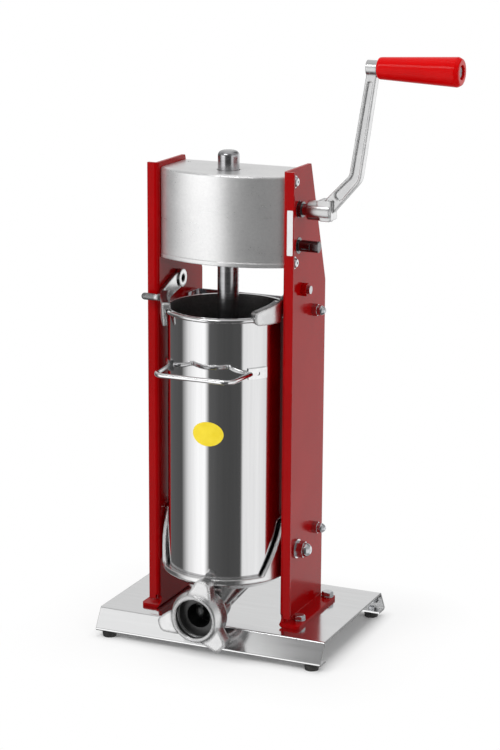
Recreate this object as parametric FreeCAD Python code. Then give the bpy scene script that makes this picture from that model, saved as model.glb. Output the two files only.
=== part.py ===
import FreeCAD, Part
import math
import os

# A hand-cranked vertical sausage stuffer: a folded tray with two uprights, a geared
# head, a toothed piston rod, a polished cylinder that stands in a cast cradle, and an
# outlet with a winged ring nut.
# Millimetres, +Z up. X runs across the uprights, -Y is the front, the rod's axis is
# X = Y = 0, and Z = 0 is the plane on which the rubber feet stand.

Vec = FreeCAD.Vector
AX, AY, AZ = Vec(1, 0, 0), Vec(0, 1, 0), Vec(0, 0, 1)

# Tray
tray_width = 304.0
tray_front_y = -50.0
tray_back_y = 145.0
tray_top_z = 35.0
tray_sheet = 2.0
tray_flare = 17.0
tray_lip = 21.5
tray_bend_r = 0.8

# Feet
foot_h = 7.5
foot_r = 9.5
foot_taper = 1.0
foot_inset_x = 14.5
foot_inset_y = 12.5
foot_screw_r = 2.0
foot_screw_head_r = 4.0
foot_recess = 3.5

# Uprights
web_gap = 163.5
plate_t = 4.0
flange_w = 13.8
foot_flange_w = 25.5
upright_front_y = -26.0
upright_back_y = 102.0
upright_top_back_y = 51.5
upright_rise = 116.0
upright_slope_drop = 35.0
upright_bend_r = 5.0
foot_bolt_x = 98.5
foot_bolt_ys = (-1.0, 93.0)
foot_bolt_r = 4.0

# Cylinder
bore_r = 72.0
tube_wall = 1.4
tube_length = 331.4
rim_bead_r = 2.8

# Cradle casting and spout
cup_wall = 7.0
cup_foot_in = 9.0
cup_top_z = 104.0
cup_bottom_z = 87.6
cup_fit = 0.4
tube_seat_z = 96.0
seat_width = 4.0
arm_gap = 3.2
arm_h = 63.0
arm_root = 6.0
arm_front = ((-46.0, -6.0), (-27.0, 27.0), (-15.0, 47.0), (-8.0, 63.0))
arm_back = ((35.0, 63.0), (50.0, 26.0), (60.0, -6.0))
arm_corner_radii = (20.0, 10.0, 9.0, 9.0, 30.0)
pivot_y = 16.5
pivot_h = 21.0
pivot_r = 6.0
pivot_boss_r = 14.0
spout_z = 57.5
spout_bore_r = 15.4
spout_neck_r = 21.0
spout_thread_r = 28.1
spout_thread_y = -68.0
spout_face_y = -84.0
funnel_y = -38.0
funnel_mouth_r = 46.0
funnel_mouth_y = -20.0
gusset_t = 6.0
gusset_y = -20.0
gusset_top_x = 47.0
gusset_low_x = 12.4
gusset_low_z = 48.6

# Winged ring nut
nut_front_y = -100.0
nut_back_y = -72.0
nut_mouth_r = 24.5
nut_lip = 6.0
nut_front_r = 29.0
nut_back_r = 33.5
nut_wing_r = 50.0
nut_wing_w = 19.0
nut_wing_front_y = -97.0
nut_wing_gap = 1.2
nut_wing_first_deg = 77.0
nut_wings = 3

# Rod, piston and seal
rod_r = 13.0
rod_stub = 23.0
rod_dome_r = 6.0
piston_rest_gap = 1.0
piston_h = 22.0
piston_clear = 0.8
boss_r = 22.0
boss_h = 12.0
seal_h = 6.0
seal_depth = 5.0
seal_clear = 0.07
spigot_r = 8.0
rod_nut_h = 7.0
rod_nut_w = 24.0
travel_margin = 1.4

# Gear train
module = 2.0
pressure_deg = 20.0
pinion_teeth = 9
pinion_shift = 0.48
pinion_tip_r = 11.5
small_teeth = 11
large_teeth = 33
small_shift = 0.37
small_tip_r = 13.6
large_tip_r = 34.2
backlash = 0.16
rack_addendum = 1.9
rack_dedendum = 2.2
pinion_face = 24.0
gear_face_w = 12.0
gear_x = -52.0
gear_hub_l = 10.0
gear_hub_r = 13.0

# Shafts and bearings
shaft_y = 15.0
shaft_rise = 66.0
shaft_r = 7.0
shaft_clear = 0.05
bush_wall = 3.0
bush_flange_r = 13.0
bush_flange_t = 3.0
bush_proud = 0.3
lower_shaft_end_x = 112.0
lower_groove_x = 87.5
lower_groove_w = 1.5
lower_groove_r = 6.2
lower_end_chamfer = 0.8
lower_flat_l = 10.5
lower_flat_d = 1.2
clip_r = 10.5
clip_t = 1.5
clip_gap = 0.3
collar_r = 9.5
collar_l = 4.5

# Head: its rises and drops are counted from the cover's lower edge, which stands over the
# cylinder's rim by head_gap
head_gap = 56.6
cover_sheet = 1.2
cover_h = 110.0
cover_side_y = -18.0
cover_bulge = 22.5
cover_back_y = 51.0
cover_edge_r = 4.0
cover_side_gap = 0.4
hem_h = 5.0
hem_t = 0.8
guide_bar_rise = 0.3
guide_bar_t = 7.2
guide_bar_front_y = -15.5
guide_bar_back_y = 40.0
guide_nose_y = -24.0
guide_nose_w = 60.0
bracket_t = 2.0
bracket_drop = 17.0
rod_clear = 0.06
guide_bush_wall = 3.5
guide_bush_flange = 3.5
guide_bush_flange_t = 2.0
head_screw_y = -1.5
upper_screw_rise = 101.2
head_screw_r = 2.5
head_washer_r = 7.5
head_washer_t = 1.5
head_bolt_head_r = 6.4
head_bolt_head_h = 3.6
oil_hole_r = 2.0
oil_hole_x = -69.0
oil_hole_y = 36.0

# Crank and grip
crank_radius = 172.0
hub_r = 12.0
hub_in_x = 98.0
hub_out_x = 130.0
hub_cap = 2.0
hub_cheek_x = 116.0
hub_cheek_w = 20.0
arm_t = 10.0
arm_widths = (18.0, 15.0, 12.5)
arm_start_x = 121.0
arm_bend_x = 157.5
arm_bend_z = 42.0
arm_top_x = 177.0
arm_bend_r = 8.0
flute_edge = 3.2
flute_d = 2.2
eye_r = 9.0
shank_r = 4.0
spindle_r = 5.0
spindle_head_r = 7.3
spindle_head_t = 4.5
grip_start_x = 183.5
grip_end_x = 284.0
grip_end_gap = 0.4
grip_small_r = 12.9
grip_large_r = 17.4
grip_clear = 0.06
grip_recess_r = 8.4
grip_recess_l = 7.0

# Hold-down hooks
hook_pivot_y = 29.0
hook_pivot_h = 22.6
hook_pin_r = 5.0
hook_in_x = 76.0
hook_side_gap = 0.5
hook_boss_x = 74.0
hook_boss_r = 11.0
hook_bore_gap = 0.6
hook_claw_mid_deg = -30.0
hook_claw_h = 24.0
hook_finger_gap = 0.6
hook_finger_t = 4.0
hook_rim_gap = 0.3
hook_tab_y = -36.0
hook_tab_h = 10.0
hook_tab_r = 4.3
hook_tab_end_x = -94.5

# Carrying handle on the cylinder
bail_z = 359.5
bail_wire_r = 3.0
bail_half_w = 49.0
bail_front_y = -104.0
bail_corner_r = 12.0
bail_pad_from_deg = -47.0
bail_pad_to_deg = -28.0
bail_pad_h = 13.0
bail_pad_t = 3.0

# Braces behind the cylinder
brace_y = 83.5
brace_t = 3.0
brace_h = 16.0
upper_brace_drop = 9.4
upper_brace_bolt_y = 63.5
lower_brace_z = 136.0
lower_brace_bolt_y = 73.5
brace_bolt_r = 4.0
brace_bolt_out = 12.0

# Plain labels
sticker_deg = -85.0
sticker_z = 285.0
sticker_half_w = 19.5
sticker_half_h = 15.0
strip_x0 = 87.3
strip_x1 = 94.6
strip_rise = 17.0
strip_h = 54.0
label_t = 0.3

# Worked out from the sizes above
inner_x = web_gap / 2
outer_x = inner_x + plate_t
pitch_r = module * pinion_teeth / 2
centre_distance = module * (small_teeth + large_teeth) / 2
tube_top_z = tube_seat_z + tube_length
cover_bottom_z = tube_top_z + head_gap
cover_top_z = cover_bottom_z + cover_h
upper_shaft_z = cover_bottom_z + shaft_rise
upper_screw_z = cover_bottom_z + upper_screw_rise
guide_bar_bottom_z = cover_bottom_z + guide_bar_rise
upright_top_z = cover_bottom_z + upright_rise
upright_slope_z = cover_bottom_z - upright_slope_drop
rod_top_z = cover_top_z + rod_stub
piston_travel = tube_length - travel_margin
strip_z0 = cover_bottom_z + strip_rise
strip_z1 = strip_z0 + strip_h
lower_shaft_z = upper_shaft_z - centre_distance
rack_line_y = shaft_y - pitch_r - module * pinion_shift
rack_tip_y = rack_line_y + rack_addendum
tube_out_r = bore_r + tube_wall
rim_out_r = tube_out_r - 0.6 + 2 * rim_bead_r
cup_r = tube_out_r + cup_fit + cup_wall
arm_wall_in_r = tube_out_r + arm_gap
arm_top_z = cup_top_z + arm_h
pivot_z = cup_top_z + pivot_h
nut_wing_back_y = -cup_r - nut_wing_gap
piston_bottom_z = tube_seat_z + piston_rest_gap
hook_pivot_z = tube_top_z + hook_pivot_h
brace_levels = ((tube_top_z - upper_brace_drop, upper_brace_bolt_y), (lower_brace_z, lower_brace_bolt_y))
tray_bottom_z = foot_h
foot_flange_top_z = tray_top_z + plate_t
grip_z = upper_shaft_z + crank_radius
guide_bar_top_z = guide_bar_bottom_z + guide_bar_t
bracket_top_z = cover_top_z - cover_sheet - 0.2

nodes = {}


def yz(x):
    return lambda u, v: Vec(x, u, v)


def xz(y):
    return lambda u, v: Vec(u, y, v)


def xy(z):
    return lambda u, v: Vec(u, v, z)


def block(x0, x1, y0, y1, z0, z1):
    return Part.makeBox(x1 - x0, y1 - y0, z1 - z0, Vec(x0, y0, z0))


def bar_x(r, x0, x1, y, z):
    return Part.makeCylinder(r, x1 - x0, Vec(x0, y, z), AX)


def bar_y(r, y0, y1, x, z):
    return Part.makeCylinder(r, y1 - y0, Vec(x, y0, z), AY)


def bar_z(r, z0, z1, x=0.0, y=0.0):
    return Part.makeCylinder(r, z1 - z0, Vec(x, y, z0), AZ)


def polygon(points, place):
    corners = [place(*p) for p in points]
    return Part.Face(Part.makePolygon(corners + corners[:1]))


def corner_arc(before, corner, after, radius):
    """The start, middle and end of the arc that rounds one corner of an outline."""
    ax, ay = before[0] - corner[0], before[1] - corner[1]
    bx, by = after[0] - corner[0], after[1] - corner[1]
    la, lb = math.hypot(ax, ay), math.hypot(bx, by)
    ax, ay, bx, by = ax / la, ay / la, bx / lb, by / lb
    half = math.acos(max(-1.0, min(1.0, ax * bx + ay * by))) / 2
    reach = radius / math.tan(half)
    mx, my = ax + bx, ay + by
    lm = math.hypot(mx, my)
    depth = radius / math.sin(half) - radius
    start = (corner[0] + ax * reach, corner[1] + ay * reach)
    middle = (corner[0] + mx / lm * depth, corner[1] + my / lm * depth)
    end = (corner[0] + bx * reach, corner[1] + by * reach)
    return start, middle, end


def outline(points, radii, place, closed=True):
    """A wire through the points, each corner rounded by its own radius."""
    edges = []
    last = None
    first = None
    count = len(points)
    for i, corner in enumerate(points):
        inside = closed or 0 < i < count - 1
        if inside and radii[i] > 0:
            start, middle, end = corner_arc(points[i - 1], corner, points[(i + 1) % count], radii[i])
        else:
            start = middle = end = corner
        if first is None:
            first = start
        if last is not None and math.dist(last, start) > 1e-6:
            edges.append(Part.LineSegment(place(*last), place(*start)).toShape())
        if start != end:
            edges.append(Part.Arc(place(*start), place(*middle), place(*end)).toShape())
        last = end
    if closed:
        edges.append(Part.LineSegment(place(*last), place(*first)).toShape())
    return Part.Wire(edges)


def rounded(points, radii, place):
    if not isinstance(radii, (list, tuple)):
        radii = [radii] * len(points)
    return Part.Face(outline(points, radii, place))


def fold(points, thickness, inner_r, place):
    """The cross-section of a folded sheet: the points are its left side's corners."""
    count = len(points)
    right = []
    turns = []
    for i, p in enumerate(points):
        before = points[i - 1] if i > 0 else None
        after = points[i + 1] if i < count - 1 else None
        normals = []
        for a, b in ((before, p), (p, after)):
            if a is None or b is None:
                continue
            length = math.dist(a, b)
            normals.append(((b[1] - a[1]) / length, -(b[0] - a[0]) / length))
        nx = sum(n[0] for n in normals)
        ny = sum(n[1] for n in normals)
        scale = thickness * len(normals) / (nx * nx + ny * ny)
        if len(normals) == 1:
            scale = thickness
        right.append((p[0] + nx * scale, p[1] + ny * scale))
        turn = 0.0
        if len(normals) == 2:
            turn = normals[0][0] * normals[1][1] - normals[0][1] * normals[1][0]
        turns.append(turn)
    left_r, right_r = [], []
    for turn in turns:
        left_r.append(0.0 if turn == 0 else (inner_r + thickness if turn < 0 else inner_r))
        right_r.append(0.0 if turn == 0 else (inner_r if turn < 0 else inner_r + thickness))
    corners = list(points) + right[::-1]
    radii = left_r + right_r[::-1]
    return Part.Face(outline(corners, radii, place))


def spin(points, axis_point=Vec(0, 0, 0), axis=AZ, radii=None):
    """A solid turned from an outline of (radius, height) points about a Z axis."""
    place = lambda u, v: Vec(axis_point.x + u, axis_point.y, v)
    face = rounded(points, radii, place) if radii else polygon(points, place)
    return face.revolve(axis_point, axis, 360)


def spin_x(points, y, z, radii=None):
    """A solid turned from (x, radius) points about the X axis through (y, z)."""
    place = lambda u, v: Vec(u, y, z + v)
    face = rounded(points, radii, place) if radii else polygon(points, place)
    return face.revolve(Vec(0, y, z), AX, 360)


def spin_y(points, x, z, radii=None):
    """A solid turned from (y, radius) points about the Y axis through (x, z)."""
    place = lambda u, v: Vec(x + v, u, z)
    face = rounded(points, radii, place) if radii else polygon(points, place)
    return face.revolve(Vec(x, 0, z), AY, 360)


def hexagon(across, height, base, axis, turn=0.0):
    """A six-sided prism that stands on base along axis."""
    side = across / 2 / math.cos(math.pi / 6)
    u = AY if abs(axis.x) > 0.5 else AX
    v = axis.cross(u)
    corners = []
    for i in range(6):
        angle = math.radians(60 * i + turn)
        corners.append(base + u * (side * math.cos(angle)) + v * (side * math.sin(angle)))
    return Part.Face(Part.makePolygon(corners + corners[:1])).extrude(axis * height)


def mirrored(shape):
    return shape.mirror(Vec(0, 0, 0), AX)


def both_sides(shape):
    return Part.makeCompound([shape, mirrored(shape)])


def keep(name, shape):
    nodes[name] = shape


def solids(*shapes):
    """One compound of all the solids in the shapes."""
    found = []
    for shape in shapes:
        found.extend(shape.Solids)
    return Part.makeCompound(found)


def involute(angle):
    return math.tan(angle) - angle


def gear_outline(teeth, shift, tip_r, x, y, z, tooth_at_deg):
    """The outline of a spur gear in the plane of x, one tooth pointing at tooth_at_deg."""
    pressure = math.radians(pressure_deg)
    wheel_r = module * teeth / 2
    base_r = wheel_r * math.cos(pressure)
    root_r = wheel_r + module * (shift - 1.25)
    thick = module * (math.pi / 2 + 2 * shift * math.tan(pressure)) - backlash
    half = thick / (2 * wheel_r) + involute(pressure)
    flank_start = max(base_r, root_r)
    steps = 3
    flank = []
    for k in range(steps + 1):
        r = flank_start + (tip_r - flank_start) * k / steps
        flank.append((r, half - involute(math.acos(min(1.0, base_r / r)))))
    if root_r < base_r:
        flank.insert(0, (root_r, flank[0][1]))
    points = []
    for i in range(teeth):
        centre = math.radians(tooth_at_deg + 360.0 * i / teeth)
        for r, a in flank:
            points.append((r, centre - a))
        for r, a in reversed(flank):
            points.append((r, centre + a))
    flat = [(y + r * math.cos(a), z + r * math.sin(a)) for r, a in points]
    return polygon(flat, yz(x))


# Tray: a polished sheet, its long edges folded down and out, and in again under the feet
def make_tray():
    front_bottom = tray_front_y - tray_flare
    back_bottom = tray_back_y + tray_flare
    path = [
        (front_bottom + tray_lip, tray_bottom_z),
        (front_bottom, tray_bottom_z),
        (tray_front_y, tray_top_z),
        (tray_back_y, tray_top_z),
        (back_bottom, tray_bottom_z),
        (back_bottom - tray_lip, tray_bottom_z),
    ]
    section = fold(path, tray_sheet, tray_bend_r, yz(-tray_width / 2))
    tray = section.extrude(AX * tray_width)
    for x, y in foot_places():
        tray = tray.cut(bar_z(foot_screw_r + 0.2, tray_bottom_z - 1, tray_bottom_z + tray_sheet + 1, x, y))
    for x, y in foot_bolt_places():
        tray = tray.cut(bar_z(foot_bolt_r, tray_top_z - tray_sheet - 1, tray_top_z + 1, x, y))
    keep("base_tray", tray)


def foot_places():
    x = tray_width / 2 - foot_inset_x
    front = tray_front_y - tray_flare + foot_inset_y
    back = tray_back_y + tray_flare - foot_inset_y
    return [(sx * x, y) for sx in (-1, 1) for y in (front, back)]


def foot_bolt_places():
    return [(sx * foot_bolt_x, y) for sx in (-1, 1) for y in foot_bolt_ys]


def make_feet():
    feet, screws, nuts = [], [], []
    nut_z = foot_h + tray_sheet
    for x, y in foot_places():
        centre = Vec(x, y, 0)
        foot = spin([
            (foot_screw_r, foot_recess), (foot_screw_head_r + 0.5, foot_recess),
            (foot_screw_head_r + 0.5, 0), (foot_r - foot_taper, 0),
            (foot_r, foot_h), (foot_screw_r, foot_h),
        ], centre)
        feet.append(foot)
        head = bar_z(foot_screw_head_r, 1.0, foot_recess, x, y)
        screws.append(head.fuse(bar_z(foot_screw_r, foot_recess, nut_z + 4, x, y)))
        nut = hexagon(7.0, 3.2, Vec(x, y, nut_z), AZ)
        nuts.append(nut.cut(bar_z(foot_screw_r, nut_z - 1, nut_z + 5, x, y)))
    keep("rubber_feet", solids(*feet))
    keep("foot_screws", solids(*screws))
    keep("foot_nuts", solids(*nuts))


# Uprights: 4 mm plate, the front edge and the foot both folded outward
def make_uprights():
    web = rounded([
        (upright_front_y, tray_top_z), (upright_back_y, tray_top_z),
        (upright_back_y, upright_slope_z), (upright_top_back_y, upright_top_z),
        (upright_front_y, upright_top_z),
    ], [0, 0, 12.0, 2.0, 0], yz(inner_x)).extrude(AX * plate_t)
    bend = upright_bend_r
    relief_z = foot_flange_top_z + 8.0
    front = fold([
        (inner_x + flange_w, upright_front_y), (inner_x, upright_front_y),
        (inner_x, upright_front_y + 3 * bend),
    ], plate_t, bend - plate_t, xy(relief_z))
    flange = front.extrude(AZ * (upright_top_z - relief_z))
    foot = fold([
        (inner_x + foot_flange_w, tray_top_z), (inner_x, tray_top_z),
        (inner_x, tray_top_z + 3 * bend),
    ], plate_t, bend - plate_t, xz(upright_front_y))
    foot = foot.extrude(AY * (upright_back_y - upright_front_y))
    # The web's square front and bottom edges give way to the two bends.
    web = web.cut(block(inner_x - 1, outer_x + 1, upright_front_y - 1, upright_front_y + bend,
                        tray_top_z - 1, upright_top_z + 1))
    web = web.cut(block(inner_x - 1, outer_x + 1, upright_front_y - 1, upright_back_y + 1,
                        tray_top_z - 1, tray_top_z + bend))
    upright = web.fuse([flange, foot]).removeSplitter()
    # Bend relief where the two folds would meet, and rounded free corners.
    upright = upright.cut(bar_x(bend + 1.5, inner_x - 1, outer_x + 1, upright_front_y, relief_z - 1))
    far_x = inner_x + foot_flange_w
    for y in (upright_front_y, upright_back_y):
        upright = upright.cut(corner_cut(far_x, y, 6.0, tray_top_z - 1, foot_flange_top_z + 1,
                                         -1, 1 if y < 0 else -1))
    for y in foot_bolt_ys:
        upright = upright.cut(bar_z(foot_bolt_r, tray_top_z - 1, foot_flange_top_z + 1, foot_bolt_x, y))
    for z in (upper_shaft_z, lower_shaft_z):
        upright = upright.cut(bar_x(shaft_r + bush_wall, inner_x - 1, outer_x + 1, shaft_y, z))
    for z in (upper_screw_z, guide_bar_bottom_z + guide_bar_t / 2):
        upright = upright.cut(bar_x(head_screw_r, inner_x - 1, outer_x + 1, head_screw_y, z))
    upright = upright.cut(bar_x(hook_pin_r, inner_x - 1, outer_x + 1, hook_pivot_y, hook_pivot_z))
    upright = upright.cut(bar_x(pivot_r, inner_x - 1, outer_x + 1, pivot_y, pivot_z))
    for z, y in brace_levels:
        upright = upright.cut(bar_x(brace_bolt_r, inner_x - 1, outer_x + 1, y, z))
    keep("right_upright", upright)
    keep("left_upright", mirrored(upright))


def corner_cut(x, y, r, z0, z1, into_x, into_y):
    """The waste outside a rounded vertical corner at (x, y)."""
    waste = block(min(x, x + into_x * r), max(x, x + into_x * r),
                  min(y, y + into_y * r), max(y, y + into_y * r), z0, z1)
    return waste.cut(bar_z(r, z0 - 1, z1 + 1, x + into_x * r, y + into_y * r))


def make_foot_bolts():
    bolts, nuts, washers = [], [], []
    under = tray_top_z - tray_sheet
    for x, y in foot_bolt_places():
        washer = bar_z(8.0, foot_flange_top_z, foot_flange_top_z + 1.6, x, y)
        washers.append(washer.cut(bar_z(foot_bolt_r, foot_flange_top_z, foot_flange_top_z + 2, x, y)))
        head = hexagon(13.0, 5.3, Vec(x, y, foot_flange_top_z + 1.6), AZ, 15.0)
        head = head.common(spin([(0, head.BoundBox.ZMin), (8.6, head.BoundBox.ZMin),
                                 (8.6, head.BoundBox.ZMax - 1.6), (5.8, head.BoundBox.ZMax),
                                 (0, head.BoundBox.ZMax)], Vec(x, y, 0)))
        bolts.append(head.fuse(bar_z(foot_bolt_r, under - 9.0, foot_flange_top_z + 1.6, x, y)))
        nut = hexagon(13.0, 6.5, Vec(x, y, under - 6.5), AZ)
        nuts.append(nut.cut(bar_z(foot_bolt_r, under - 8, under + 1, x, y)))
    keep("foot_bolts", solids(*bolts))
    keep("foot_bolt_washers", solids(*washers))
    keep("foot_bolt_nuts", solids(*nuts))


# Cylinder: a thin polished tube with a rolled rim
def make_cylinder():
    tube = bar_z(tube_out_r, tube_seat_z, tube_top_z).cut(bar_z(bore_r, tube_seat_z - 1, tube_top_z + 1))
    bead = Part.makeTorus(tube_out_r + rim_bead_r - 0.6, rim_bead_r, Vec(0, 0, tube_top_z - rim_bead_r), AZ)
    tube = tube.fuse(bead).cut(bar_z(bore_r, tube_seat_z - 1, tube_top_z + 1))
    keep("cylinder", tube)


def ring_sector(r_in, r_out, z0, z1, from_deg, to_deg):
    """A block between two radii about the rod's axis, from one angle to another."""
    low, high = sorted((from_deg, to_deg))
    sweep = high - low
    outer = Part.makeCylinder(r_out, z1 - z0, Vec(0, 0, z0), AZ, sweep)
    inner = Part.makeCylinder(r_in, z1 - z0 + 2, Vec(0, 0, z0 - 1), AZ, 360)
    return outer.cut(inner).rotate(Vec(0, 0, 0), AZ, low)


# Carrying handle: round wire, its two ends flattened and welded to the cylinder
def make_bail():
    pad_mid = (bail_pad_from_deg + bail_pad_to_deg) / 2
    leg_r = tube_out_r + bail_wire_r
    leg_angle = math.radians(bail_pad_from_deg + 2.0)
    start = (leg_r * math.cos(leg_angle), leg_r * math.sin(leg_angle))
    path = outline([
        (-start[0], start[1]), (-bail_half_w, bail_front_y),
        (bail_half_w, bail_front_y), start,
    ], [0, bail_corner_r, bail_corner_r, 0], xy(bail_z), closed=False)
    direction = path.Edges[0].tangentAt(path.Edges[0].FirstParameter)
    ring = Part.Wire(Part.makeCircle(bail_wire_r, path.Edges[0].Vertexes[0].Point, direction))
    wire = Part.Solid(path.makePipeShell([ring], True, True).Solids[0])
    pads = []
    for side in (0, 1):
        pad = ring_sector(tube_out_r, tube_out_r + bail_pad_t, bail_z - bail_pad_h / 2,
                          bail_z + bail_pad_h / 2, bail_pad_from_deg, bail_pad_to_deg)
        mid = math.radians(pad_mid)
        dimple = bar_x(2.5, 0, 4, 0, 0)
        dimple.rotate(Vec(0, 0, 0), AZ, pad_mid)
        reach = tube_out_r + bail_pad_t - 1.2
        dimple.translate(Vec(reach * math.cos(mid), reach * math.sin(mid), bail_z))
        pad = pad.cut(dimple)
        pads.append(mirrored(pad) if side else pad)
    bail = wire.fuse(pads)
    bail = bail.cut(bar_z(tube_out_r, bail_z - 20, bail_z + 20))
    keep("bail_handle", bail)


# Plain labels: an oval on the cylinder and a strip on the right upright, both blank
def make_labels():
    oval = Part.Face(Part.Wire(Part.Ellipse(Vec(0, 0, 0), sticker_half_w, sticker_half_h).toShape()))
    plug = oval.extrude(AZ * (2 * bore_r))
    plug.rotate(Vec(0, 0, 0), AX, 90)
    plug.rotate(Vec(0, 0, 0), AZ, sticker_deg + 90)
    plug.translate(AZ * sticker_z)
    low, high = sticker_z - sticker_half_h - 1, sticker_z + sticker_half_h + 1
    skin = bar_z(tube_out_r + label_t, low, high).cut(bar_z(tube_out_r, low - 1, high + 1))
    keep("cylinder_label", skin.common(plug))
    strip = rounded([(strip_x0, strip_z0), (strip_x1, strip_z0), (strip_x1, strip_z1), (strip_x0, strip_z1)],
                    0.8, xz(upright_front_y - label_t)).extrude(AY * label_t)
    keep("upright_label", strip)


# Cradle: one casting of a cup, two side arms, a funnel and the outlet spout
def make_cradle():
    seat_in_r = bore_r - seat_width
    fit_r = tube_out_r + cup_fit
    floor_z = cup_bottom_z
    cup = spin([
        (0, floor_z), (cup_r - cup_foot_in - 6, floor_z), (cup_r, cup_top_z - 6.5), (cup_r, cup_top_z),
        (fit_r, cup_top_z), (fit_r, tube_seat_z), (seat_in_r, tube_seat_z),
        (seat_in_r - 1.5, tube_seat_z - 1.5), (0, tube_seat_z - 2.5),
    ], radii=[0, 7.0, 4.0, 1.0, 0, 0, 0, 0, 0])
    arms = cradle_arm()
    funnel_top_z = floor_z + 1.0
    funnel = Part.makeLoft([
        Part.Wire(Part.makeCircle(funnel_mouth_r, Vec(0, funnel_mouth_y, funnel_top_z), AZ)),
        Part.Wire(Part.makeCircle(spout_neck_r, Vec(0, funnel_y, spout_z + 4), AZ)),
    ], True)
    elbow = bar_z(spout_neck_r, spout_z, spout_z + 4.5, 0, funnel_y)
    elbow = elbow.fuse(Part.makeSphere(spout_neck_r, Vec(0, funnel_y, spout_z)))
    neck = bar_y(spout_neck_r, spout_thread_y, funnel_y, 0, spout_z)
    thread = spin_y([
        (spout_face_y, 0), (spout_face_y, spout_thread_r - 1.2), (spout_face_y + 1.2, spout_thread_r),
        (spout_thread_y, spout_thread_r), (spout_thread_y + 5, spout_neck_r), (spout_thread_y + 5, 0),
    ], 0, spout_z)
    body = cup.fuse([arms, mirrored(arms), funnel, elbow, neck, thread, *gussets()])
    throat = Part.makeLoft([
        Part.Wire(Part.makeCircle(funnel_mouth_r - 8, Vec(0, funnel_mouth_y, tube_seat_z + 1), AZ)),
        Part.Wire(Part.makeCircle(spout_bore_r, Vec(0, funnel_y, spout_z + 8), AZ)),
    ], True)
    bore = bar_y(spout_bore_r, spout_face_y - 1, funnel_y, 0, spout_z)
    turn = bar_z(spout_bore_r, spout_z, spout_z + 8.5, 0, funnel_y)
    turn = turn.fuse(Part.makeSphere(spout_bore_r, Vec(0, funnel_y, spout_z)))
    body = body.cut(throat.fuse([bore, turn]))
    # The tube's seat and the piston's room stay clear above the cup's floor.
    body = body.cut(bar_z(fit_r, tube_seat_z, arm_top_z + 1))
    keep("cradle_casting", body.removeSplitter())


def cradle_arm():
    """The right side arm: a wall round the cylinder, with the pivot's boss."""
    edge = [(y, cup_top_z + h) for y, h in arm_front + arm_back]
    side = rounded(edge, [0, *arm_corner_radii, 0], yz(cup_r / 4)).extrude(AX * cup_r)
    wall = bar_z(cup_r, cup_top_z - arm_root, arm_top_z + 1)
    wall = wall.cut(bar_z(arm_wall_in_r, cup_top_z - arm_root - 1, arm_top_z + 2)).common(side)
    boss = bar_x(pivot_boss_r, arm_wall_in_r, inner_x - 0.4, pivot_y, pivot_z)
    arm = wall.fuse(boss)
    return arm.cut(bar_x(pivot_r, 60, inner_x + 1, pivot_y, pivot_z))


def gussets():
    """Two ribs from the cup's underside down to the spout's neck, and one behind."""
    top = cup_bottom_z + 1.0
    low_z = gusset_low_z
    side = polygon([(2.0, top), (gusset_top_x, top), (gusset_low_x, low_z), (2.0, low_z)],
                   xz(gusset_y - gusset_t / 2)).extrude(AY * gusset_t)
    back = polygon([(gusset_y, top), (cup_r - 30.0, top), (funnel_y + spout_neck_r - 1, low_z),
                    (funnel_y + 8.0, low_z)], yz(-gusset_t / 2)).extrude(AX * gusset_t)
    return [side, mirrored(side), back]


def make_cradle_pivots():
    stud_in_x = arm_wall_in_r + 0.5
    washer_x = outer_x
    nut_x = washer_x + 2.5
    stud = bar_x(pivot_r, stud_in_x, nut_x + 11.0, pivot_y, pivot_z)
    washer = bar_x(12.0, washer_x, nut_x, pivot_y, pivot_z)
    washer = washer.cut(bar_x(pivot_r, washer_x - 1, nut_x + 1, pivot_y, pivot_z))
    hexa = hexagon(18.0, 9.0, Vec(nut_x, pivot_y, pivot_z), AX)
    dome = spin_x([(nut_x + 9.0, 0), (nut_x + 9.0, 8.8), (nut_x + 13.0, 8.3), (nut_x + 17.0, 5.0),
                   (nut_x + 18.0, 0)], pivot_y, pivot_z, [0, 0, 5.0, 4.0, 0])
    nut = hexa.fuse(dome).cut(bar_x(pivot_r, nut_x - 1, nut_x + 11.0, pivot_y, pivot_z))
    keep("cradle_pivot_studs", both_sides(stud))
    keep("cradle_pivot_washers", both_sides(washer))
    keep("cradle_dome_nuts", both_sides(nut))


# Winged ring nut: holds a filling tube's flange against the spout
def make_ring_nut():
    barrel = spin_y([
        (nut_front_y, nut_mouth_r), (nut_front_y, nut_front_r), (nut_wing_front_y + 6, nut_back_r),
        (nut_back_y, nut_back_r), (nut_back_y, nut_mouth_r),
    ], 0, spout_z, [1.0, 3.0, 6.0, 2.0, 0])
    wings = []
    tip_r = nut_wing_w / 2 - 1.5
    for i in range(nut_wings):
        angle = nut_wing_first_deg + 360.0 * i / nut_wings
        wing = rounded([
            (8.0, -nut_wing_w / 2 - 9), (nut_back_r - 2, -nut_wing_w / 2 - 5), (nut_wing_r, -nut_wing_w / 2 + 1.5),
            (nut_wing_r, nut_wing_w / 2 - 1.5), (nut_back_r - 2, nut_wing_w / 2 + 5), (8.0, nut_wing_w / 2 + 9),
        ], [0, 14.0, tip_r - 0.6, tip_r - 0.6, 14.0, 0], xz(nut_wing_front_y))
        wing = wing.extrude(AY * (nut_wing_back_y - nut_wing_front_y))
        wing.rotate(Vec(0, 0, 0), AY, -angle)
        wing.translate(Vec(0, 0, spout_z))
        wings.append(wing)
    nut = barrel.fuse(wings)
    nut = nut.cut(bar_y(nut_mouth_r, nut_front_y - 1, nut_back_y + 1, 0, spout_z))
    nut = nut.cut(bar_y(spout_thread_r + 0.07, nut_front_y + nut_lip, nut_back_y + 1, 0, spout_z))
    keep("wing_ring_nut", nut.removeSplitter())


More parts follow.
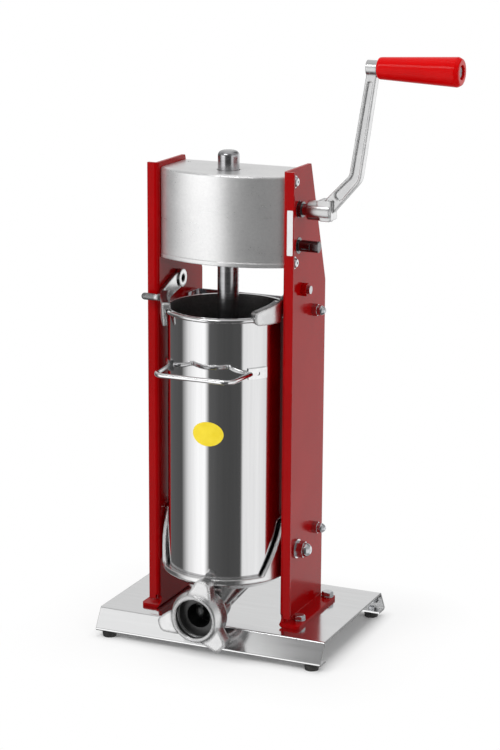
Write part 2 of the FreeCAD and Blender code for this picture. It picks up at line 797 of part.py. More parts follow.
# Piston rod: a round bar with a rack milled into its back
def rack_cutter():
    pressure = math.radians(pressure_deg)
    pitch = math.pi * module
    above = 2
    below = int(math.ceil(piston_travel / pitch)) + 2
    tip_gap = pitch / 2 + backlash / 2 + 2 * rack_addendum * math.tan(pressure)
    root_gap = pitch / 2 + backlash / 2 - 2 * rack_dedendum * math.tan(pressure)
    root_y = rack_line_y - rack_dedendum
    far_y = rod_r + 5
    points = []
    for i in range(above, -below - 1, -1):
        z = upper_shaft_z + i * pitch
        points.append((rack_tip_y, z + tip_gap / 2))
        points.append((root_y, z + root_gap / 2))
        points.append((root_y, z - root_gap / 2))
        points.append((rack_tip_y, z - tip_gap / 2))
    points[0] = (rack_tip_y, points[0][1])
    top = points[0][1] + pitch / 2
    # The flat goes on far enough for the lower shaft to clear the rod at the top of the stroke.
    bottom = min(points[-1][1] - pitch / 2, lower_shaft_z - piston_travel - shaft_r - 3.0)
    run_out = far_y - rack_tip_y
    points = [(far_y, top + run_out), (rack_tip_y, top)] + points
    points += [(rack_tip_y, bottom), (far_y, bottom - run_out)]
    return polygon(points, yz(-rod_r - 2)).extrude(AX * (2 * rod_r + 4))


def make_rod():
    shoulder_z = piston_bottom_z + piston_h + boss_h
    rod = spin([(0, shoulder_z), (rod_r, shoulder_z), (rod_r, rod_top_z), (0, rod_top_z)],
               radii=[0, 0, rod_dome_r, 0])
    rod = rod.cut(rack_cutter())
    spigot = bar_z(spigot_r, piston_bottom_z + 2.0, shoulder_z)
    keep("rack_rod", rod.fuse(spigot))


def make_piston():
    disc_r = bore_r - piston_clear
    groove_in = bore_r - seal_depth
    z0 = piston_bottom_z
    groove_z = z0 + (piston_h - seal_h) / 2
    top = z0 + piston_h
    nut_r = 16.0
    disc = spin([
        (spigot_r, z0 + rod_nut_h + 1.5), (nut_r, z0 + rod_nut_h + 1.5), (nut_r, z0),
        (disc_r - 2, z0), (disc_r, z0 + 2), (disc_r, groove_z), (groove_in, groove_z),
        (groove_in, groove_z + seal_h), (disc_r, groove_z + seal_h), (disc_r, top - 2),
        (disc_r - 2, top), (boss_r + 4, top), (boss_r, top + boss_h), (spigot_r, top + boss_h),
    ])
    seal = spin([
        (groove_in, groove_z + 0.2), (bore_r - seal_clear - 0.8, groove_z + 0.2),
        (bore_r - seal_clear, groove_z + 1.6), (bore_r - seal_clear, groove_z + seal_h - 1.6),
        (bore_r - seal_clear - 0.8, groove_z + seal_h - 0.2), (groove_in, groove_z + seal_h - 0.2),
    ])
    nut_base = z0 + 1.5
    nut = hexagon(rod_nut_w, rod_nut_h, Vec(0, 0, nut_base), AZ)
    nut = nut.cut(bar_z(spigot_r, nut_base - 1, nut_base + rod_nut_h + 1))
    keep("piston_disc", disc)
    keep("piston_seal", seal)
    keep("piston_nut", nut)


# Shafts: the upper one carries the rack pinion and the large gear, the lower the small gear
def make_shafts():
    left_x = -outer_x - bush_proud - clip_gap - clip_t - 1.5
    gear_pin_x = gear_x + gear_face_w + gear_hub_l / 2
    upper = bar_x(shaft_r, left_x, hub_out_x - hub_cap - 0.5, shaft_y, upper_shaft_z)
    pinion = gear_outline(pinion_teeth, pinion_shift, pinion_tip_r, -pinion_face / 2,
                          shaft_y, upper_shaft_z, 180.0).extrude(AX * pinion_face)
    upper = upper.fuse(pinion)
    upper = upper.cut(bar_y(2.5, shaft_y - 20, shaft_y + 20, gear_pin_x, upper_shaft_z))
    keep("upper_pinion_shaft", upper)
    end_x = lower_shaft_end_x
    groove_end_x = lower_groove_x + lower_groove_w
    lower = spin_x([
        (left_x, 0), (left_x, shaft_r), (lower_groove_x, shaft_r), (lower_groove_x, lower_groove_r),
        (groove_end_x, lower_groove_r), (groove_end_x, shaft_r), (end_x - lower_end_chamfer, shaft_r),
        (end_x, shaft_r - lower_end_chamfer), (end_x, 0),
    ], shaft_y, lower_shaft_z)
    lower = lower.cut(block(lower_shaft_end_x - lower_flat_l, lower_shaft_end_x + 1, shaft_y - shaft_r - 1,
                            shaft_y - shaft_r + lower_flat_d, lower_shaft_z - 10, lower_shaft_z + 10))
    lower = lower.cut(bar_y(2.5, shaft_y - 20, shaft_y + 20, gear_pin_x, lower_shaft_z))
    keep("lower_shaft", lower)
    large = gear_outline(large_teeth, -small_shift, large_tip_r, gear_x, shaft_y, upper_shaft_z,
                         -90.0 + 180.0 / large_teeth).extrude(AX * gear_face_w)
    small = gear_outline(small_teeth, small_shift, small_tip_r, gear_x, shaft_y, lower_shaft_z,
                         90.0).extrude(AX * gear_face_w)
    pins = {}
    for name, gear, z, hub in (("large_gear", large, upper_shaft_z, gear_hub_r),
                               ("small_gear", small, lower_shaft_z, gear_hub_r - 2)):
        gear = gear.fuse(bar_x(hub, gear_x + gear_face_w, gear_x + gear_face_w + gear_hub_l, shaft_y, z))
        gear = gear.cut(bar_x(shaft_r, gear_x - 1, gear_x + gear_face_w + gear_hub_l + 1, shaft_y, z))
        gear = gear.cut(bar_y(2.5, shaft_y - 20, shaft_y + 20, gear_pin_x, z))
        if name == "large_gear":
            gear = gear.cut(lightening_holes(z))
        keep(name, gear)
        pins[name] = bar_y(2.5, shaft_y - hub + 0.5, shaft_y + hub - 0.5, gear_pin_x, z)
    keep("large_gear_pin", pins["large_gear"])
    keep("small_gear_pin", pins["small_gear"])
    clip_x = outer_x + bush_proud + clip_gap
    clip = bar_x(clip_r, -clip_x - clip_t, -clip_x, shaft_y, upper_shaft_z)
    keep("upper_shaft_clip", clip.cut(bar_x(shaft_r, -clip_x - 5, -clip_x + 5, shaft_y, upper_shaft_z)))
    inside_x = inner_x - bush_flange_t - clip_gap
    low = bar_x(clip_r, -clip_x - clip_t, -clip_x, shaft_y, lower_shaft_z)
    low = low.cut(bar_x(shaft_r, -clip_x - 5, -clip_x + 5, shaft_y, lower_shaft_z))
    high = bar_x(clip_r, inside_x - clip_t, inside_x, shaft_y, lower_shaft_z)
    high = high.cut(bar_x(shaft_r, inside_x - 5, inside_x + 5, shaft_y, lower_shaft_z))
    keep("lower_shaft_clips", solids(low, high))
    collar = bar_x(collar_r, clip_x, clip_x + collar_l, shaft_y, upper_shaft_z)
    keep("upper_shaft_collar", collar.cut(bar_x(shaft_r, clip_x - 1, clip_x + collar_l + 1,
                                                shaft_y, upper_shaft_z)))


def lightening_holes(z):
    """Round holes through the large gear's web."""
    holes = []
    ring_r = 21.0
    for i in range(6):
        angle = math.radians(60 * i + 30)
        holes.append(bar_x(4.2, gear_x - 1, gear_x + gear_face_w + 1,
                           shaft_y + ring_r * math.cos(angle), z + ring_r * math.sin(angle)))
    return holes[0].fuse(holes[1:])


def make_bushes():
    bushes = []
    for z in (upper_shaft_z, lower_shaft_z):
        bush = bar_x(bush_flange_r, inner_x - bush_flange_t, inner_x, shaft_y, z)
        bush = bush.fuse(bar_x(shaft_r + bush_wall, inner_x, outer_x + bush_proud, shaft_y, z))
        bush = bush.cut(bar_x(shaft_r + shaft_clear, inner_x - 10, outer_x + 10, shaft_y, z))
        bushes += [bush, mirrored(bush)]
    keep("shaft_bushes", solids(*bushes))


# Head: a bulged sheet cover over a guide bar below and a folded bracket above
def head_plan(inset):
    """The head's outline seen from above, set in all round by inset."""
    x = inner_x - cover_side_gap
    side_y = cover_side_y + inset
    face = []
    face.append(Part.Arc(Vec(-x, side_y, 0), Vec(0, side_y - cover_bulge, 0), Vec(x, side_y, 0)).toShape())
    face.append(Part.LineSegment(Vec(x, side_y, 0), Vec(x, cover_back_y - inset, 0)).toShape())
    face.append(Part.LineSegment(Vec(x, cover_back_y - inset, 0), Vec(-x, cover_back_y - inset, 0)).toShape())
    face.append(Part.LineSegment(Vec(-x, cover_back_y - inset, 0), Vec(-x, side_y, 0)).toShape())
    return Part.Face(Part.Wire(face))


def edge_rounded(solid, top_z, radius):
    """Round the top edge along the bulged front."""
    edges = []
    for edge in solid.Edges:
        box = edge.BoundBox
        level = abs(box.ZMin - top_z) < 1e-6 and abs(box.ZMax - top_z) < 1e-6
        if level and box.YMax < 0 and box.XLength > web_gap / 2:
            edges.append(edge)
    return solid.makeFillet(radius, edges)


def make_cover():
    height = cover_top_z - cover_bottom_z
    shell = head_plan(0).extrude(AZ * height)
    shell.translate(Vec(0, 0, cover_bottom_z))
    shell = edge_rounded(shell, cover_top_z, cover_edge_r)
    hollow = head_plan(cover_sheet).extrude(AZ * (height - cover_sheet))
    hollow.translate(Vec(0, 0, cover_bottom_z))
    hollow = edge_rounded(hollow, cover_top_z - cover_sheet, cover_edge_r - cover_sheet)
    hem = head_plan(-hem_t).extrude(AZ * hem_h)
    hem.translate(Vec(0, 0, cover_bottom_z))
    hem = hem.common(block(-200, 200, -200, 0, 0, 1000))
    cover = shell.fuse(hem).cut(hollow)
    below = head_plan(cover_sheet).extrude(AZ * 10)
    below.translate(Vec(0, 0, cover_bottom_z - 5))
    cover = cover.cut(below)
    ends = block(-inner_x - 5, -inner_x + cover_side_gap, -100, 100, 400, 700)
    cover = cover.cut(ends).cut(mirrored(ends))
    cover = cover.cut(bar_z(rod_r + 1.0, cover_top_z - 10, cover_top_z + 5))
    cover = cover.cut(bar_z(oil_hole_r, cover_top_z - 10, cover_top_z + 5, oil_hole_x, oil_hole_y))
    keep("head_cover", cover.removeSplitter())


def guide_nose(z0, z1):
    """The part of a guide that stands forward round the rod's bush."""
    return rounded([
        (-guide_nose_w, guide_bar_front_y + 3), (-guide_nose_w / 2, guide_nose_y),
        (guide_nose_w / 2, guide_nose_y), (guide_nose_w, guide_bar_front_y + 3),
    ], [0, 8.0, 8.0, 0], xy(z0)).extrude(AZ * (z1 - z0))


def make_guides():
    z0, z1 = guide_bar_bottom_z, guide_bar_top_z
    bush_r = rod_r + rod_clear + guide_bush_wall
    bar = block(-inner_x, inner_x, guide_bar_front_y, guide_bar_back_y, z0, z1)
    bar = bar.fuse(guide_nose(z0, z1)).cut(bar_z(bush_r, z0 - 1, z1 + 1)).removeSplitter()
    screw_z = z0 + guide_bar_t / 2
    hole = bar_x(head_screw_r, inner_x - 22, inner_x + 1, head_screw_y, screw_z)
    bar = bar.cut(hole).cut(mirrored(hole))
    keep("lower_guide_bar", bar)
    top = bracket_top_z
    x = inner_x
    section = fold([
        (-x, top - bracket_drop), (-x, top), (x, top), (x, top - bracket_drop),
    ], bracket_t, 0.8, xz(guide_bar_front_y + 2))
    bracket = section.extrude(AY * (guide_bar_back_y - guide_bar_front_y - 4))
    bracket = bracket.fuse(guide_nose(top - bracket_t, top)).removeSplitter()
    bracket = bracket.cut(bar_z(bush_r, top - 10, top + 10))
    for side in (-1, 1):
        bracket = bracket.cut(bar_x(head_screw_r, side * inner_x - 6, side * inner_x + 6, head_screw_y,
                                    upper_screw_z))
    keep("upper_guide_bracket", bracket)
    bushes = []
    for low, high, flange_z in ((z0, z1, z1), (top - bracket_t - 5.5, top, top - bracket_t)):
        bush = bar_z(bush_r, low, high)
        base = flange_z if flange_z == z1 else flange_z - guide_bush_flange_t
        bush = bush.fuse(bar_z(bush_r + guide_bush_flange, base, base + guide_bush_flange_t))
        bush = bush.cut(bar_z(rod_r + rod_clear, low - 5, high + 5))
        # The back of each flange is cut flat, clear of the shaft and its pinion.
        bush = bush.cut(block(-40, 40, rod_r + 2.0, 60, z1 + 1e-3, z1 + 20)) if flange_z == z1 else bush
        bushes.append(bush)
    keep("rod_guide_bushes", solids(*bushes))


def make_head_screws():
    screws, washers, nuts = [], [], []
    washer_x = outer_x + head_washer_t
    for z, end_x in ((upper_screw_z, inner_x - bracket_t - 6.5),
                     (guide_bar_bottom_z + guide_bar_t / 2, inner_x - 20)):
        washer = bar_x(head_washer_r, outer_x, washer_x, head_screw_y, z)
        washer = washer.cut(bar_x(head_screw_r, outer_x - 1, washer_x + 1, head_screw_y, z))
        head = spin_x([(washer_x, 0), (washer_x, head_bolt_head_r),
                       (washer_x + head_bolt_head_h, head_bolt_head_r * 0.72),
                       (washer_x + head_bolt_head_h, 0)], head_screw_y, z, [0, 0, 2.0, 0])
        socket = hexagon(3.0, 3.0, Vec(washer_x + head_bolt_head_h - 1.8, head_screw_y, z), AX)
        screw = head.fuse(bar_x(head_screw_r, end_x, washer_x, head_screw_y, z)).cut(socket)
        screws += [screw, mirrored(screw)]
        washers += [washer, mirrored(washer)]
    nut_x = inner_x - bracket_t
    nut = hexagon(8.0, -4.0, Vec(nut_x, head_screw_y, upper_screw_z), AX)
    nut = nut.cut(bar_x(head_screw_r, nut_x - 8, nut_x + 1, head_screw_y, upper_screw_z))
    nuts += [nut, mirrored(nut)]
    keep("head_screws", solids(*screws))
    keep("head_washers", solids(*washers))
    keep("head_screw_nuts", solids(*nuts))


# Crank: a cast arm with a flute down its front and back, pinned on the upper shaft
def taper(centre, widths, radii, place):
    """An outline that follows a centre line, with its own width at each point."""
    left, right = [], []
    count = len(centre)
    for i, p in enumerate(centre):
        if 0 < i < count - 1:
            left.append(corner_offset(centre[i - 1], p, centre[i + 1], -widths[i] / 2))
            right.append(corner_offset(centre[i - 1], p, centre[i + 1], widths[i] / 2))
        else:
            a, b = (p, centre[1]) if i == 0 else (centre[-2], p)
            reach = 0.0 if i == 0 else math.dist(a, b)
            left.append(along(a, b, reach, -widths[i] / 2))
            right.append(along(a, b, reach, widths[i] / 2))
    left_r = list(radii)
    right_r = [radii[0]] + [r + widths[1] for r in radii[1:-1]] + [radii[-1]]
    return rounded(left + right[::-1], left_r + right_r[::-1], place)


def make_crank():
    zc = upper_shaft_z
    front_y = shaft_y - arm_t / 2
    low = (arm_start_x, zc + 2.0)
    bend = (arm_bend_x, zc + arm_bend_z)
    top = (arm_top_x, grip_z)
    arm = taper([low, bend, top], arm_widths, [2.0, arm_bend_r, 0], xz(front_y)).extrude(AY * arm_t)
    flute_low = along(low, bend, 20.0, 0)
    flute_top = along(top, bend, 16.0, 0)
    widths = [w - 2 * flute_edge for w in arm_widths]
    ends = [0.44 * widths[0], arm_bend_r + flute_edge, 0.44 * widths[2]]
    flute = taper([flute_low, bend, flute_top], widths, ends, xz(front_y - 1)).extrude(AY * (flute_d + 1))
    arm = arm.cut(flute)
    flute.translate(AY * (arm_t + 1 - flute_d))
    arm = arm.cut(flute)
    eye_in_x = arm_top_x - arm_widths[2] / 2 - 1.4
    eye_out_x = grip_start_x - grip_end_gap
    eye = bar_x(eye_r, eye_in_x, eye_out_x, shaft_y, grip_z)
    hub_end_x = hub_out_x - 1.0
    hub = spin_x([(hub_in_x, 0), (hub_in_x, hub_r - 1.0), (hub_in_x + 1.0, hub_r),
                  (hub_end_x - 1.5, hub_r), (hub_end_x, hub_r - 1.5), (hub_end_x, 0)], shaft_y, zc)
    cheek = rounded([(hub_cheek_x, 1.0 - hub_r), (hub_out_x, 1.0 - hub_r), (hub_out_x, hub_r + 2.0),
                     (hub_cheek_x - 5.0, hub_r + 2.0)], [2.0, 3.0, 2.0, 2.0],
                    lambda u, v: Vec(u, shaft_y - hub_cheek_w / 2, zc + v)).extrude(AY * hub_cheek_w)
    crank = arm.fuse([eye, hub, cheek])
    crank = crank.cut(bar_x(shaft_r, hub_in_x - 1, hub_out_x - hub_cap, shaft_y, zc))
    crank = crank.cut(bar_x(shank_r, eye_in_x - 20, eye_out_x + 20, shaft_y, grip_z))
    screw_x = hub_in_x + 8.0
    depth = hub_r - shaft_r
    crank = crank.cut(bar_z(3.0, zc - hub_r - 1, zc - shaft_r + 0.5, screw_x, shaft_y))
    keep("crank_arm", crank)
    grub = bar_z(3.0, zc - hub_r + 0.8, zc - hub_r + depth - 0.6, screw_x, shaft_y)
    socket = hexagon(3.0, 2.0, Vec(screw_x, shaft_y, zc - hub_r + 0.5), AZ)
    keep("crank_grub_screw", grub.cut(socket))
    shank = bar_x(shank_r, eye_in_x - 1.0, eye_out_x + 1.0, shaft_y, grip_z)
    core = bar_x(spindle_r, eye_out_x, grip_end_x - grip_recess_l + 1.0, shaft_y, grip_z)
    rivet = spin_x([(eye_in_x - 1.8, 0), (eye_in_x - 1.8, 4.0), (eye_in_x, 6.0), (eye_in_x, 0)], shaft_y, grip_z)
    head_x = grip_end_x - grip_recess_l + grip_end_gap
    head = spin_x([(head_x, 0), (head_x, spindle_head_r), (head_x + spindle_head_t, spindle_head_r),
                   (head_x + spindle_head_t + 0.8, 0)], shaft_y, grip_z, [0, 0, 2.0, 0])
    keep("grip_spindle", core.fuse([shank, rivet, head]))


def along(a, b, distance, offset):
    """A point on the line a to b, then set off to its right."""
    length = math.dist(a, b)
    ux, uy = (b[0] - a[0]) / length, (b[1] - a[1]) / length
    return (a[0] + ux * distance + uy * offset, a[1] + uy * distance - ux * offset)


def corner_offset(a, b, c, offset):
    """Corner b of the path a, b, c, set off to the path's right."""
    la, lc = math.dist(a, b), math.dist(b, c)
    n1 = ((b[1] - a[1]) / la, -(b[0] - a[0]) / la)
    n2 = ((c[1] - b[1]) / lc, -(c[0] - b[0]) / lc)
    mx, my = n1[0] + n2[0], n1[1] + n2[1]
    scale = 2 * offset / (mx * mx + my * my)
    return (b[0] + mx * scale, b[1] + my * scale)


def make_grip():
    bore = spindle_r + grip_clear
    x0, x1 = grip_start_x, grip_end_x
    grip = spin_x([
        (x0, bore), (x0, grip_small_r - 0.6), (x0 + 2.5, grip_small_r), (x1 - 5.0, grip_large_r),
        (x1, grip_large_r - 2.5), (x1, grip_recess_r), (x1 - grip_recess_l, grip_recess_r),
        (x1 - grip_recess_l, bore),
    ], shaft_y, grip_z, [0, 1.5, 4.0, 3.0, 2.5, 1.0, 0, 0])
    keep("crank_grip", grip)


# Hold-down hooks: each swings on a pin inside its upright and claws over the rim
def hook_claw(points, radii):
    """A lug over the rim with a finger outside it, cut to an outline seen from outside."""
    seat_z = tube_top_z + hook_rim_gap
    finger_in_r = rim_out_r + hook_finger_gap
    out_r = finger_in_r + hook_finger_t
    low_z = seat_z - hook_claw_h
    ring = spin([
        (bore_r + hook_bore_gap, seat_z), (finger_in_r, seat_z), (finger_in_r, low_z), (out_r, low_z),
        (out_r, seat_z + hook_claw_h), (bore_r + hook_bore_gap, seat_z + hook_claw_h),
    ])
    mid = math.radians(hook_claw_mid_deg)
    outward = Vec(math.cos(mid), math.sin(mid), 0)
    round_rim = Vec(-math.sin(mid), math.cos(mid), 0)
    place = lambda u, v: outward * (bore_r / 2) + round_rim * u + Vec(0, 0, seat_z + v)
    return ring.common(rounded(points, radii, place).extrude(outward * bore_r))


def make_hooks():
    seat_z = tube_top_z + hook_rim_gap
    out_x = inner_x - hook_side_gap
    reach_r = rim_out_r + hook_finger_gap + hook_finger_t
    top_z = hook_pivot_z
    arm = rounded([
        (36.0, top_z + 9.0), (12.0, top_z + 7.0), (-14.0, seat_z + 20.5), (-38.0, seat_z + 12.0),
        (-38.0, seat_z), (-12.0, seat_z), (8.0, seat_z + 7.0), (33.0, top_z - 10.0),
    ], [6.0, 24.0, 14.0, 5.0, 0, 12.0, 20.0, 6.0], yz(hook_in_x)).extrude(AX * (out_x - hook_in_x))
    arm = arm.common(bar_z(reach_r, seat_z - 1, top_z + hook_claw_h))
    boss = bar_x(hook_boss_r, hook_boss_x, out_x, hook_pivot_y, hook_pivot_z)
    past_web = block(out_x, 2 * out_x, -out_x, out_x, seat_z - 2 * hook_claw_h, top_z + hook_claw_h)
    pin_hole = bar_x(hook_pin_r + 0.05, hook_boss_x - 5, out_x + 5, hook_pivot_y, hook_pivot_z)
    plain = hook_claw([(-17.5, -8.6), (20.0, -8.6), (24.0, 5.0), (22.0, 18.0), (8.0, 13.5), (-17.5, 7.0)],
                      [5.0, 2.0, 2.0, 5.0, 12.0, 4.5])
    hook = arm.fuse([plain, boss]).cut(past_web).cut(pin_hole).removeSplitter()
    keep("right_hook", hook)
    # The left hook's finger runs down to a point, and it has a thumb tab in front of the upright.
    pointed = hook_claw([(-22.5, -19.5), (-18.5, -19.5), (4.0, -5.0), (20.0, -3.0), (24.0, 5.0),
                         (22.0, 18.0), (8.0, 13.5), (-15.0, 7.0)],
                        [1.5, 1.5, 12.0, 2.0, 2.0, 5.0, 12.0, 5.0])
    hook = mirrored(arm.fuse([pointed, boss]).cut(past_web).cut(pin_hole))
    tab_z = seat_z + hook_tab_h
    tab = bar_x(hook_tab_r, hook_tab_end_x, -hook_in_x, hook_tab_y, tab_z)
    tab = tab.fuse(Part.makeSphere(hook_tab_r, Vec(hook_tab_end_x, hook_tab_y, tab_z)))
    keep("left_hook", hook.fuse(tab).removeSplitter())
    pin = bar_x(hook_pin_r, hook_boss_x + 0.6, outer_x + 10.5, hook_pivot_y, hook_pivot_z)
    pin = pin.cut(hexagon(6.0, 6.0, Vec(hook_boss_x, hook_pivot_y, hook_pivot_z), AX))
    nut = hexagon(14.0, 6.5, Vec(outer_x, hook_pivot_y, hook_pivot_z), AX, 10.0)
    nut = nut.cut(bar_x(hook_pin_r, outer_x - 1, outer_x + 10, hook_pivot_y, hook_pivot_z))
    keep("hook_pins", both_sides(pin))
    keep("hook_pin_nuts", both_sides(nut))


# Braces: flat straps round the back of the cylinder that tie the uprights
def make_braces():
    straps, bolts, nuts = [], [], []
    for z, bolt_y in brace_levels:
        section = fold([
            (-inner_x, bolt_y - 9), (-inner_x, brace_y + brace_t), (inner_x, brace_y + brace_t),
            (inner_x, bolt_y - 9),
        ], brace_t, 3.0, xy(z - brace_h / 2))
        strap = section.extrude(AZ * brace_h)
        for side in (-1, 1):
            strap = strap.cut(bar_x(brace_bolt_r, side * inner_x - 8, side * inner_x + 8, bolt_y, z))
        straps.append(strap)
        head_x = inner_x - brace_t
        head = hexagon(13.0, -4.5, Vec(head_x, bolt_y, z), AX, 30.0)
        bolt = head.fuse(bar_x(brace_bolt_r, head_x, outer_x + brace_bolt_out, bolt_y, z))
        nut = hexagon(13.0, 6.5, Vec(outer_x, bolt_y, z), AX, 20.0)
        dome = spin_x([(outer_x + 6.5, 0), (outer_x + 6.5, 6.4), (outer_x + brace_bolt_out, 6.0), (outer_x + 16.0, 3.0),
                       (outer_x + 17.0, 0)], bolt_y, z, [0, 0, 4.0, 3.0, 0])
        nut = nut.fuse(dome).cut(bar_x(brace_bolt_r, outer_x - 1, outer_x + brace_bolt_out, bolt_y, z))
        bolts += [bolt, mirrored(bolt)]
        nuts += [nut, mirrored(nut)]
    keep("upper_brace", straps[0])
    keep("lower_brace", straps[1])
    keep("brace_bolts", solids(*bolts))
    keep("brace_dome_nuts", solids(*nuts))


def build():
    make_tray()
    make_feet()
    make_uprights()
    make_foot_bolts()
    make_cylinder()
    make_bail()
    make_labels()
    make_cradle()
    make_cradle_pivots()
    make_ring_nut()
    make_rod()
    make_piston()
    make_shafts()
    make_bushes()
    make_cover()
    make_guides()
    make_head_screws()
    make_crank()
    make_grip()
    make_hooks()
    make_braces()


def write_nodes():
    os.makedirs("parts", exist_ok=True)
    for name, shape in nodes.items():
        found = shape.Solids
        bad = [s for s in found if not s.isValid() or s.Volume <= 0]
        print(f"{name:24s} {len(found)} solids, {sum(s.Volume for s in found) / 1000:9.2f} cm3"
              f"{'  NOT VALID' if bad else ''}")
        whole = found[0] if len(found) == 1 else Part.makeCompound(found)
        whole.exportStep(f"parts/{name}.step")


build()
write_nodes()
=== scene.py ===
import math

import bpy
from mathutils import Matrix, Vector

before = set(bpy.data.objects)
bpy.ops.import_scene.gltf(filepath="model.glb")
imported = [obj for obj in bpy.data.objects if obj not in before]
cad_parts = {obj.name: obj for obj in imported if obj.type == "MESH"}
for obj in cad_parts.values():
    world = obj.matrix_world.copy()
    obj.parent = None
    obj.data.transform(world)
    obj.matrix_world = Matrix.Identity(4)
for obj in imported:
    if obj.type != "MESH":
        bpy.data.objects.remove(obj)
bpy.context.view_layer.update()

# Where a finish changes on a solid, in most places with painted shade, in metres. Each pair is where the
# change starts and ends.
TUBE_WALL = (0.0721, 0.0725)
TRAY_END = (0.1516, 0.1519)
SPOUT_AXIS = (0, 0, 0.0575)
SPOUT_WALL = (0.0262, 0.0272)
SPOUT_FRONT = (-0.060, -0.056)
TAB_ROOT = (-0.0815, -0.0795)
HOOK_PIN_AXIS = (0, 0.029, 0.450)
PIN_SOCKET_WALL = (0.0058, 0.0064)
PIN_SOCKET_FLOOR = (0.0805, 0.0815)

# The tray's outline, which the floor's shadow follows, and the floor.
TRAY_HALF_WIDTH = 0.152
TRAY_HALF_DEPTH = 0.1125
TRAY_MIDDLE_Y = 0.0475
FLOOR_MIDDLE_Y = 0.03
FLOOR_RADIUS = 0.9

# The camera stands where the photograph was taken from.
AZIMUTH, ELEVATION, ROLL = math.radians(23.63), math.radians(14.13), math.radians(0.35)
CAMERA_AT = Vector((1.07718, -2.39467, 1.00191))
IMAGE_HEIGHT_PX = 750
FOCAL_PX = 2215.8
SENSOR_MM = 36.0


# Nodes

class Nodes:
    """Short names for the nodes of one material or world."""

    def __init__(self, tree):
        self.tree = tree
        self.tree.nodes.clear()

    def add(self, kind, **values):
        node = self.tree.nodes.new(kind)
        for key, value in values.items():
            if hasattr(node, key) and key not in node.inputs:
                setattr(node, key, value)
            else:
                node.inputs[key].default_value = value
        return node

    def link(self, a, b):
        self.tree.links.new(a, b)

    def feed(self, socket, value):
        """Give a socket a number, a colour or another node's output."""
        if isinstance(value, bpy.types.NodeSocket):
            self.link(value, socket)
        elif isinstance(value, tuple):
            socket.default_value = (*value, 1)
        else:
            socket.default_value = value

    def math(self, operation, a, b=None, clamp=False):
        node = self.add("ShaderNodeMath", operation=operation, use_clamp=clamp)
        self.feed(node.inputs[0], a)
        if b is not None:
            self.feed(node.inputs[1], b)
        return node.outputs[0]

    def ramp(self, factor, stops):
        """A colour for each place from 0 to 1. A stop's colour may be one number, for a grey."""
        node = self.add("ShaderNodeValToRGB")
        elements = node.color_ramp.elements
        while len(elements) < len(stops):
            elements.new(0.5)
        for element, (at, colour) in zip(elements, stops):
            element.position = at
            element.color = (*(colour if isinstance(colour, tuple) else (colour,) * 3), 1)
        self.link(factor, node.inputs[0])
        return node.outputs[0]

    def span(self, value, low, high, to_low, to_high):
        """The value's place between low and high, carried over to between to_low and to_high."""
        node = self.add("ShaderNodeMapRange")
        self.link(value, node.inputs[0])
        for i, v in enumerate((low, high, to_low, to_high)):
            node.inputs[i + 1].default_value = v
        return node.outputs[0]

    def below(self, value, limits):
        """1 where the value is below the limits, 0 above them."""
        return self.span(value, *limits, 1.0, 0.0)

    def contrast(self, noise, low=0.3, high=0.7):
        """A noise spread out from 0 to 1."""
        return self.span(noise, low, high, 0.0, 1.0)

    def blend(self, factor, low, high):
        """Mix two colours, each a socket or a colour."""
        node = self.add("ShaderNodeMix", data_type="RGBA")
        self.link(factor, node.inputs["Factor"])
        self.feed(node.inputs[6], low)
        self.feed(node.inputs[7], high)
        return node.outputs[2]

    def place(self, scale=(1, 1, 1)):
        """Object coordinates, in metres, stretched by scale."""
        mapping = self.add("ShaderNodeMapping", Scale=scale)
        self.link(self.add("ShaderNodeTexCoord").outputs["Object"], mapping.inputs["Vector"])
        return mapping.outputs[0]

    def split(self, kind="Object"):
        """The x, y and z of a point."""
        axes = self.add("ShaderNodeSeparateXYZ")
        self.link(self.add("ShaderNodeTexCoord").outputs[kind], axes.inputs[0])
        return axes.outputs

    def radius_about(self, axis, centre=(0, 0, 0)):
        """Distance from a line through centre, along axis, and the place along it."""
        axes = self.split()
        squares = []
        for i in (0, 1, 2):
            if i != axis:
                off = self.math("SUBTRACT", axes[i], float(centre[i]))
                squares.append(self.math("MULTIPLY", off, off))
        return self.math("SQRT", self.math("ADD", *squares)), axes[axis]

    def noise(self, where, scale, detail, rough):
        node = self.add("ShaderNodeTexNoise", Scale=scale, Detail=detail, Roughness=rough)
        self.link(where, node.inputs["Vector"])
        return node.outputs["Fac"]

    def round_edge(self, radius):
        """A normal that rounds off the edges, as a casting's or a folded sheet's edges are."""
        return self.add("ShaderNodeBevel", samples=4, Radius=radius).outputs[0]

    def bump(self, height, strength, distance, edge=0.0):
        node = self.add("ShaderNodeBump", Strength=strength, Distance=distance)
        self.link(height, node.inputs["Height"])
        if edge:
            self.link(self.round_edge(edge), node.inputs["Normal"])
        return node.outputs[0]


def surface(name, base, metallic=0.0, specular=0.5):
    """A new material with one principled shader. Returns it, its nodes and the shader."""
    mat = bpy.data.materials.new(name)
    mat.use_nodes = True
    n = Nodes(mat.node_tree)
    out = n.add("ShaderNodeOutputMaterial")
    shader = n.add("ShaderNodeBsdfPrincipled")
    shader.inputs["Base Color"].default_value = (*base, 1)
    shader.inputs["Metallic"].default_value = metallic
    shader.inputs["Specular IOR Level"].default_value = specular
    n.link(shader.outputs[0], out.inputs[0])
    return mat, n, shader


def dress(n, shader, colour, roughness, normal):
    """Link the three things that vary over a surface."""
    n.link(colour, shader.inputs["Base Color"])
    n.link(roughness, shader.inputs["Roughness"])
    n.link(normal, shader.inputs["Normal"])


# Parts of a solid that have another finish than the rest, some of them with painted shade

def tube_inside_rough_and_shade(n):
    """1 on the inside of the cylinder, which is rolled and not polished and has a darker grey that is
    painted shade, and less in its faint rings.
    """
    radius, _ = n.radius_about(2)
    rings = n.span(n.noise(n.place((0.02, 0.02, 1)), 240.0, 3.0, 0.6), 0.35, 0.65, 0.80, 1.0)
    return n.math("MULTIPLY", n.below(radius, TUBE_WALL), rings)


def tray_ends_cut_and_shade(n):
    """1 on the sheared ends of the tray, which are rough cut and dark grey: the dark grey is painted shade.
    """
    return n.span(n.math("ABSOLUTE", n.split()[0]), *TRAY_END, 0.0, 1.0)


